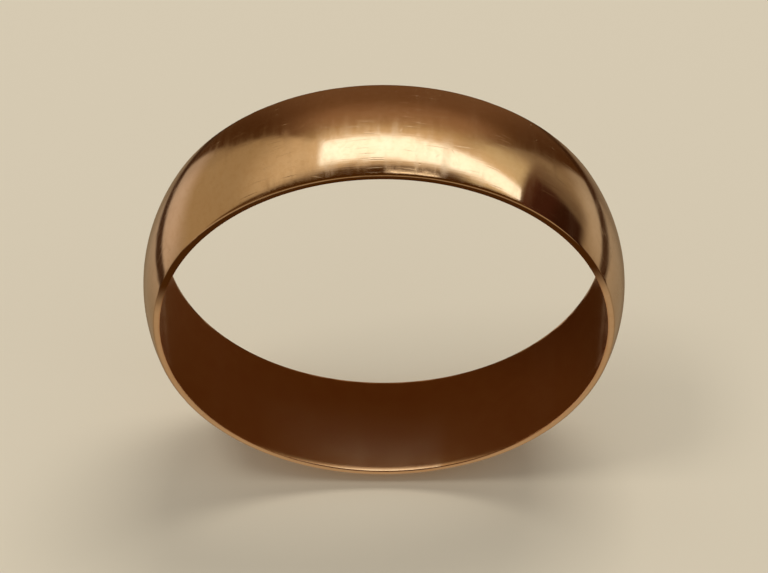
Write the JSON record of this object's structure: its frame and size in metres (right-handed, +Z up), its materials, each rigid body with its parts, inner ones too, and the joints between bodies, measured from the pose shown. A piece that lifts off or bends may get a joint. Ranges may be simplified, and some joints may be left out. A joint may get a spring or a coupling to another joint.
{
  "type": "wedding band",
  "caption": "Plain polished ring for a finger: a seamless hoop, domed outside, flat inside, with narrow flat side faces.",
  "frame": {"origin": "centre of the hoop: on the finger axis, midway between the two side faces", "axes": "+Y along the finger axis, from the front side face to the back one; +Z up and +X to the right with the band standing on its rim"},
  "size_m": [0.02, 0.005, 0.02],
  "materials": {
    "gold": "polished warm yellow gold, lightly worn"
  },
  "bodies": {
    "root": {"band": "gold"}
  },
  "joints": []
}
